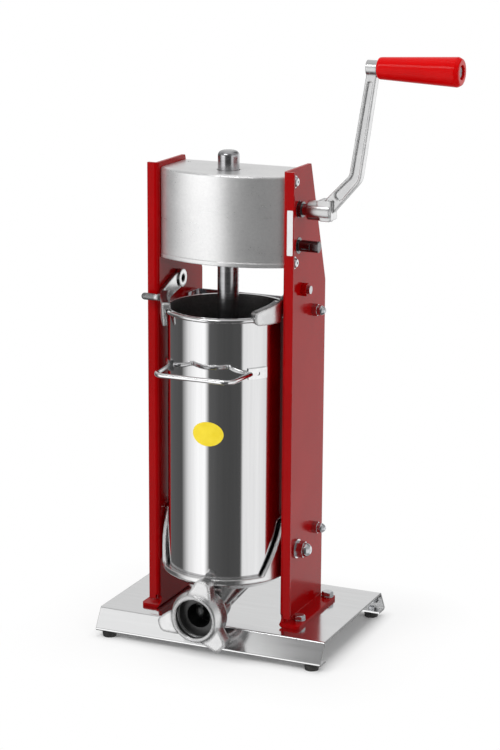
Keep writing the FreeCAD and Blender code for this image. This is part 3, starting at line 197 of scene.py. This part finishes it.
def spout_cast_and_shade(n):
    """1 on the spout's end face and in its bore, which stay as they were cast and are dark grey: the dark
    grey is painted shade.
    """
    radius, y = n.radius_about(1, SPOUT_AXIS)
    return n.math("MULTIPLY", n.below(radius, SPOUT_WALL), n.below(y, SPOUT_FRONT))


def thumb_tab(n):
    """1 on the left hook's thumb tab, outside the upright, which is given a darker grey."""
    return n.below(n.split()[0], TAB_ROOT)


def pin_socket_shade(n):
    """1 on the sunk middle of each hook pin's inner end, which is painted near black as painted shade in the
    socket.
    """
    radius, x = n.radius_about(0, HOOK_PIN_AXIS)
    inner = n.below(n.math("ABSOLUTE", x), PIN_SOCKET_FLOOR)
    return n.math("MULTIPLY", n.below(radius, PIN_SOCKET_WALL), inner)


# Metals

def metal(name, dark, light, rough, spread, grain_scale, grain=(1, 1, 1), depth=0.00004, smudge=0.04,
          edge=0.0, dull_and_dark=None):
    """A worked metal: fine lines along one way, faint smudges, and both in colour and roughness.

    dark and light are the colours of its lines. rough is its roughness, give or take spread and
    smudge. grain stretches the lines, grain_scale makes them finer and depth is their height.
    edge is the radius of its edges. The last argument gives a part of it a darker grey and more
    roughness: a function of the nodes for where, a grey and a roughness to add. The darker grey
    is painted shade inside the tube, the spout and the pin sockets and on the tray's ends.
    """
    mat, n, shader = surface(name, light, metallic=1.0)
    lines = n.noise(n.place(grain), grain_scale, 4.0, 0.6)
    cloud = n.noise(n.place(), 18.0, 3.0, 0.55)
    fine = n.noise(n.place(), 420.0, 2.0, 0.5)
    colour = n.ramp(n.contrast(lines), [(0.0, dark), (1.0, light)])
    level = n.math("ADD", n.span(lines, 0.25, 0.75, rough - spread, rough + spread),
                   n.span(cloud, 0.35, 0.7, 0.0, smudge))
    if dull_and_dark is not None:
        where, tone, blur = dull_and_dark
        share = where(n)
        colour = n.blend(share, colour, n.blend(n.contrast(fine), (tone,) * 3, (1.25 * tone,) * 3))
        level = n.math("ADD", level, n.math("MULTIPLY", share, blur))
    height = n.math("ADD", lines, n.math("MULTIPLY", fine, 0.25))
    dress(n, shader, colour, level, n.bump(height, 0.35, depth, edge))
    return mat


def casting(name, dark, light, rough, edge, dull_and_dark=None):
    """A polished casting, with softly rounded edges."""
    return metal(name, (dark, dark, dark + 0.005), (light, light, light), rough, 0.03, 90.0,
                 smudge=0.06, edge=edge, dull_and_dark=dull_and_dark)


def make_cover_metal():
    """Brushed sheet with a fine bright speckle, as the head's cover has."""
    mat, n, shader = surface("brushed_cover", (0.8, 0.8, 0.8), metallic=0.80)
    lines = n.noise(n.place((0.035, 0.035, 1)), 620.0, 4.0, 0.65)
    speck = n.noise(n.place(), 310.0, 5.0, 0.7)
    cloud = n.noise(n.place(), 24.0, 4.0, 0.6)
    mottle = n.math("ADD", n.math("MULTIPLY", speck, 0.55), n.math("MULTIPLY", cloud, 0.45))
    colour = n.ramp(mottle, [(0.30, (0.69, 0.69, 0.695)), (0.50, (0.76, 0.76, 0.76)),
                             (0.70, (0.83, 0.83, 0.83))])
    level = n.math("ADD", n.span(lines, 0.3, 0.7, 0.25, 0.31), n.span(mottle, 0.35, 0.65, 0.0, 0.06))
    height = n.math("ADD", n.math("MULTIPLY", lines, 0.7), n.math("MULTIPLY", speck, 0.5))
    dress(n, shader, colour, level, n.bump(height, 0.35, 0.00006, edge=0.002))
    return mat


# Paint, plastic and rubber

def make_paint():
    """Gloss red enamel over plate: a faint orange peel, and a little darker where it is thin."""
    mat, n, shader = surface("red_enamel", (0.32, 0.0006, 0.0015), specular=0.08)
    cloud = n.noise(n.place(), 14.0, 3.0, 0.5)
    peel = n.noise(n.place(), 340.0, 2.0, 0.5)
    wave = n.noise(n.place(), 45.0, 2.0, 0.5)
    colour = n.ramp(n.contrast(cloud), [(0.0, (0.305, 0.0004, 0.0012)), (1.0, (0.345, 0.0008, 0.002))])
    height = n.math("ADD", peel, n.math("MULTIPLY", wave, 1.5))
    dress(n, shader, colour, n.span(wave, 0.3, 0.7, 0.13, 0.19),
          n.bump(height, 0.25, 0.00006, edge=0.001))
    return mat


def moulded(name, base, dark, light, mottle, grain, rough, relief, specular=0.5, stretch=(1, 1, 1),
            spread=(0.3, 0.7)):
    """A moulded or printed surface: a slow mottle in its colour and a fine grain in its gloss.

    mottle and grain are each a noise's scale, detail and roughness. rough is the gloss from its
    least to its most, relief is the grain's strength and height, and stretch draws the grain out.
    """
    mat, n, shader = surface(name, base, specular=specular)
    cloud = n.noise(n.place(), *mottle)
    fine = n.noise(n.place(stretch), *grain)
    colour = n.ramp(n.contrast(cloud, *spread), [(0.0, dark), (1.0, light)])
    dress(n, shader, colour, n.span(fine, 0.3, 0.7, *rough), n.bump(fine, *relief))
    return mat


def label(name, base, dark, light):
    """Smooth printed film, blank, with the faint mottle of its backing."""
    return moulded(name, base, dark, light, mottle=(60.0, 4.0, 0.55), grain=(700.0, 2.0, 0.5),
                   rough=(0.3, 0.42), relief=(0.2, 0.00003), specular=0.3)


# Each finish, with the nodes that have it. Every other node is zinc.
ZINC = metal("bright_zinc", (0.52, 0.53, 0.55), (0.70, 0.71, 0.73), 0.20, 0.05, 300.0, edge=0.0005)
FINISHES = (
    # The inside of the tube is rougher and a darker grey: the darker grey is painted shade.
    (metal("polished_tube", (0.68, 0.68, 0.685), (0.73, 0.73, 0.735), 0.06, 0.015, 260.0,
           grain=(1, 1, 0.02), depth=0.00002, smudge=0.02, dull_and_dark=(tube_inside_rough_and_shade, 0.36, 0.26)),
     ("cylinder",)),
    # The tray's sheared ends are rougher and dark grey: the dark grey is painted shade.
    (metal("polished_tray", (0.75, 0.752, 0.755), (0.80, 0.802, 0.805), 0.13, 0.02, 160.0,
           grain=(0.05, 1, 1), depth=0.00001, smudge=0.03, dull_and_dark=(tray_ends_cut_and_shade, 0.16, 0.25)),
     ("base_tray",)),
    (metal("polished_wire", (0.74, 0.74, 0.745), (0.84, 0.84, 0.845), 0.10, 0.03, 180.0, depth=0.00003),
     ("bail_handle",)),
    # The spout's end face and bore are rougher and dark grey: the dark grey is painted shade.
    (casting("polished_casting", 0.70, 0.80, 0.20, edge=0.0022, dull_and_dark=(spout_cast_and_shade, 0.10, 0.22)),
     ("cradle_casting",)),
    # The ring nut and the hooks have fuller roundings than the cradle and the crank.
    # The ring nut's casting is a darker copy of the cradle's: painted shade that tones down its glare.
    (casting("soft_casting_painted_shade", 0.62, 0.72, 0.22, edge=0.0055),
     ("wing_ring_nut",)),
    # The left hook's thumb tab is a darker grey and a little rougher.
    (casting("hook_casting", 0.60, 0.70, 0.22, edge=0.0035, dull_and_dark=(thumb_tab, 0.20, 0.05)),
     ("left_hook", "right_hook")),
    (casting("crank_casting", 0.56, 0.66, 0.22, edge=0.0024),
     ("crank_arm",)),
    (make_cover_metal(),
     ("head_cover",)),
    (metal("turned_steel", (0.38, 0.38, 0.39), (0.50, 0.50, 0.51), 0.20, 0.05, 900.0, grain=(0.04, 0.04, 1)),
     ("rack_rod", "upper_pinion_shaft", "large_gear", "small_gear", "lower_guide_bar")),
    # A near-black steel on the shafts, their bushes, the collar and the grip's spindle.
    (metal("dark_steel", (0.12, 0.12, 0.125), (0.19, 0.19, 0.195), 0.24, 0.05, 300.0, grain=(0.04, 1, 1),
           edge=0.0005),
     ("shaft_bushes", "upper_shaft_collar", "lower_shaft", "grip_spindle")),
    # The sunk middle of each pin's inner end is near black: painted shade.
    (metal("pin_steel", (0.40, 0.40, 0.41), (0.55, 0.55, 0.56), 0.24, 0.05, 300.0, edge=0.0006,
           dull_and_dark=(pin_socket_shade, 0.012, 0.15)),
     ("hook_pins",)),
    (metal("bronze_bush", (0.40, 0.25, 0.10), (0.60, 0.40, 0.18), 0.26, 0.05, 240.0),
     ("rod_guide_bushes",)),
    (make_paint(),
     ("left_upright", "right_upright", "hook_pin_nuts")),
    # The grip's lines run along its moulding.
    (moulded("red_grip", (0.55, 0.0005, 0.001), (0.52, 0.0003, 0.0008), (0.59, 0.0008, 0.0015),
             mottle=(30.0, 3.0, 0.5), grain=(420.0, 3.0, 0.5), rough=(0.14, 0.20),
             relief=(0.2, 0.00002), specular=0.12, stretch=(0.05, 1, 1)),
     ("crank_grip",)),
    (moulded("black_rubber", (0.02, 0.02, 0.02), (0.014, 0.014, 0.015), (0.045, 0.044, 0.042),
             mottle=(60.0, 4.0, 0.6), grain=(520.0, 3.0, 0.6), rough=(0.55, 0.75),
             relief=(0.4, 0.0001), specular=0.35, spread=(0.35, 0.7)),
     ("rubber_feet", "piston_seal")),
    (moulded("white_plastic", (0.80, 0.80, 0.78), (0.72, 0.72, 0.70), (0.82, 0.82, 0.80),
             mottle=(25.0, 3.0, 0.55), grain=(260.0, 3.0, 0.55), rough=(0.3, 0.45),
             relief=(0.3, 0.00006)),
     ("piston_disc",)),
    (label("yellow_label", (0.88, 0.68, 0.03), (0.84, 0.64, 0.02), (0.91, 0.72, 0.045)),
     ("cylinder_label",)),
    (label("white_label", (0.86, 0.86, 0.86), (0.70, 0.70, 0.71), (0.78, 0.78, 0.78)),
     ("upright_label",)),
)


def finish_nodes():
    """Give each CAD node its material."""
    finish_of = {name: mat for mat, names in FINISHES for name in names}
    for name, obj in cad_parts.items():
        obj.data.materials.clear()
        obj.data.materials.append(finish_of.get(name, ZINC))
        for polygon in obj.data.polygons:
            polygon.material_index = 0


# Floor, light and camera

def outside_tray(n):
    """How far a point of the floor lies from the tray's outline, and that and how far under it."""
    x, y, _ = n.split()
    middle_y = TRAY_MIDDLE_Y - FLOOR_MIDDLE_Y
    off_x = n.math("SUBTRACT", n.math("ABSOLUTE", x), TRAY_HALF_WIDTH)
    off_y = n.math("SUBTRACT", n.math("ABSOLUTE", n.math("SUBTRACT", y, middle_y)), TRAY_HALF_DEPTH)
    past_x, past_y = n.math("MAXIMUM", off_x, 0.0), n.math("MAXIMUM", off_y, 0.0)
    past = n.math("SQRT", n.math("ADD", n.math("MULTIPLY", past_x, past_x),
                                 n.math("MULTIPLY", past_y, past_y)))
    within = n.math("MINIMUM", n.math("MAXIMUM", off_x, off_y), 0.0)
    return past, n.math("ADD", past, within)


def make_floor():
    """A round pale table top. The camera sees it fade into the white background."""
    bpy.ops.mesh.primitive_circle_add(vertices=96, radius=FLOOR_RADIUS, fill_type="NGON",
                                      location=(0, FLOOR_MIDDLE_Y, 0))
    floor = bpy.context.object
    floor.name = "floor"
    mat = bpy.data.materials.new("pale_floor")
    mat.use_nodes = True
    n = Nodes(mat.node_tree)
    out = n.add("ShaderNodeOutputMaterial")
    shader = n.add("ShaderNodeBsdfPrincipled")
    shader.inputs["Base Color"].default_value = (0.86, 0.86, 0.86, 1)
    shader.inputs["Specular IOR Level"].default_value = 0.3
    grain = n.noise(n.place(), 300.0, 2.0, 0.5)
    n.link(n.span(grain, 0.3, 0.7, 0.4, 0.5), shader.inputs["Roughness"])
    glow = n.add("ShaderNodeEmission", Color=(1, 1, 1, 1), Strength=1.0)
    # The shadow stays under the tray and close round it. Further out the floor turns white.
    past, signed = outside_tray(n)
    close = n.span(signed, -0.012, 0.014, 0.0, 0.72)
    edge = n.math("ADD", close, n.span(past, 0.014, 0.12, 0.0, 0.28))
    camera_ray = n.add("ShaderNodeLightPath").outputs["Is Camera Ray"]
    mix = n.add("ShaderNodeMixShader")
    n.link(n.math("MULTIPLY", edge, camera_ray, clamp=True), mix.inputs[0])
    n.link(shader.outputs[0], mix.inputs[1])
    n.link(glow.outputs[0], mix.inputs[2])
    n.link(mix.outputs[0], out.inputs[0])
    floor.data.materials.append(mat)
    floor.visible_glossy = False


# What gloss sees of the room, as a brightness at each angle about the object. 0 is the
# camera's side and 90 is to its right. Level and below: two soft boxes, dark straight ahead,
# pale behind.
LEVEL_ROOM = (
    (-180, 0.64), (-140, 0.13), (-98, 0.10), (-90, 0.50), (-80, 0.98), (-62, 1.30),
    (-44, 1.38), (-35, 0.13), (-18, 0.095), (0, 0.08), (26, 0.09), (30, 1.05),
    (60, 1.1), (112, 0.75), (122, 1.3), (144, 1.3), (160, 0.64), (180, 0.64),
)
# Higher up it is evenly dim. The two cards over the object are seen there.
UPPER_ROOM = (
    (-180, 0.84), (-150, 0.60), (-90, 0.40), (-50, 0.26), (26, 0.16), (40, 0.55),
    (110, 0.45), (122, 0.20), (150, 0.20), (166, 0.84), (180, 0.84),
)
CEILING = (0.8, 0.8, 0.8)
GROUND = (0.10, 0.10, 0.10)


def make_world():
    """A white room for the camera. Gloss sees two broad soft boxes with dark between them."""
    world = bpy.data.worlds.new("studio")
    bpy.context.scene.world = world
    world.use_nodes = True
    n = Nodes(world.node_tree)
    out = n.add("ShaderNodeOutputWorld")
    x, y, z = n.split("Generated")
    # The angle about the object as a share of a turn, 0.5 straight at the camera.
    turn = n.math("SUBTRACT", n.math("ARCTAN2", x, n.math("MULTIPLY", y, -1.0)), AZIMUTH)
    share = n.math("FRACT", n.math("ADD", n.math("DIVIDE", turn, 2 * math.pi), 1.5))

    def room(stops):
        return n.ramp(share, [(0.5 + angle / 360.0, level) for angle, level in stops])

    walls = n.blend(n.span(z, 0.05, 0.45, 0.0, 1.0), room(LEVEL_ROOM), room(UPPER_ROOM))
    upper = n.blend(n.span(z, 0.75, 0.95, 0.0, 1.0), walls, CEILING)
    everywhere = n.blend(n.below(z, (-0.85, -0.60)), upper, GROUND)
    gloss = n.add("ShaderNodeBackground", Strength=1.0)
    n.link(everywhere, gloss.inputs["Color"])
    soft = n.add("ShaderNodeBackground", Color=(1, 1, 1, 1), Strength=0.55)
    white = n.add("ShaderNodeBackground", Color=(1, 1, 1, 1), Strength=1.0)
    path = n.add("ShaderNodeLightPath").outputs
    seen = n.math("ADD", path["Is Camera Ray"], path["Is Transmission Ray"], clamp=True)
    result = soft.outputs[0]
    for factor, shader in ((path["Is Glossy Ray"], gloss), (seen, white)):
        mix = n.add("ShaderNodeMixShader")
        n.link(factor, mix.inputs[0])
        n.link(result, mix.inputs[1])
        n.link(shader.outputs[0], mix.inputs[2])
        result = mix.outputs[0]
    n.link(result, out.inputs[0])


def soft_light(name, place, aim, size, power, gloss=False):
    """A soft box at place that faces aim. Metal and gloss mirror it only where gloss is set."""
    data = bpy.data.lights.new(name, "AREA")
    data.shape = "RECTANGLE"
    data.size, data.size_y = size
    data.energy = power
    lamp = bpy.data.objects.new(name, data)
    bpy.context.scene.collection.objects.link(lamp)
    lamp.location = place
    lamp.rotation_euler = (Vector(aim) - Vector(place)).to_track_quat("-Z", "Y").to_euler()
    lamp.visible_glossy = gloss
    lamp.visible_camera = False


def make_lights():
    soft_light("key", (-1.3, -1.6, 1.9), (0, 0, 0.3), (1.2, 1.2), 24.0)
    soft_light("fill", (1.7, -0.9, 1.1), (0, 0, 0.35), (1.0, 1.4), 9.0)
    soft_light("top", (0.0, 0.5, 2.2), (0, 0, 0.2), (1.4, 1.4), 14.0)
    # A pale card that the front of the tray mirrors, and a narrow strip that the grip mirrors.
    soft_light("tray_card", (-0.61, -0.74, 0.61), (0, -0.06, 0.02), (0.66, 0.30), 0.45, gloss=True)
    soft_light("grip_strip", (-0.259, -1.08, 1.58), (0.234, 0.015, 0.722), (0.9, 0.30), 4.2, gloss=True)


def make_camera():
    data = bpy.data.cameras.new("camera")
    data.sensor_width = SENSOR_MM
    data.sensor_fit = "AUTO"
    data.lens = FOCAL_PX / IMAGE_HEIGHT_PX * SENSOR_MM
    data.clip_start, data.clip_end = 0.05, 20.0
    camera = bpy.data.objects.new("camera", data)
    bpy.context.scene.collection.objects.link(camera)
    back = Vector((math.sin(AZIMUTH) * math.cos(ELEVATION), -math.cos(AZIMUTH) * math.cos(ELEVATION),
                   math.sin(ELEVATION)))
    right = Vector((math.cos(AZIMUTH), math.sin(AZIMUTH), 0))
    up = back.cross(right)
    level_right = right * math.cos(ROLL) + up * math.sin(ROLL)
    level_up = up * math.cos(ROLL) - right * math.sin(ROLL)
    turned = Matrix((level_right, level_up, back)).transposed().to_4x4()
    camera.matrix_world = Matrix.Translation(CAMERA_AT) @ turned
    bpy.context.scene.camera = camera


finish_nodes()
make_floor()
make_world()
make_lights()
make_camera()
bpy.context.scene.view_settings.view_transform = "Standard"
